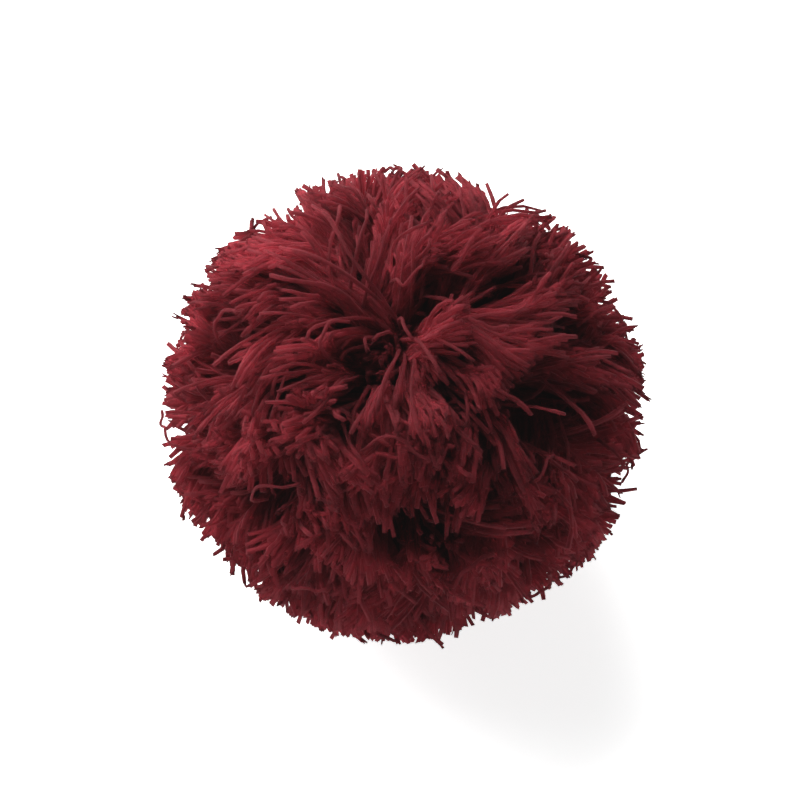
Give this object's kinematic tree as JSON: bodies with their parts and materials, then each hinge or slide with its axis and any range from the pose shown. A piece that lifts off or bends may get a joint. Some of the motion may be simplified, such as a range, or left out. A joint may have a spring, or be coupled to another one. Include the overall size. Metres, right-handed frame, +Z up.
{
  "type": "yarn pom pom",
  "caption": "Round ball of cut yarn strands tied in the middle, with a parting on top and a small flat spot to rest on.",
  "frame": {"origin": "middle of the flat spot that the ball rests on, at the height of the surface under it", "axes": "+Z up, with the parting of the strands near the top; +X to the right and -Y towards the front, where the ball is seen from"},
  "size_m": [0.1, 0.097, 0.096],
  "materials": {
    "yarn": "matt burgundy cut yarn, slightly fuzzy"
  },
  "bodies": {
    "root": {"yarn_ball": "yarn"}
  },
  "joints": []
}
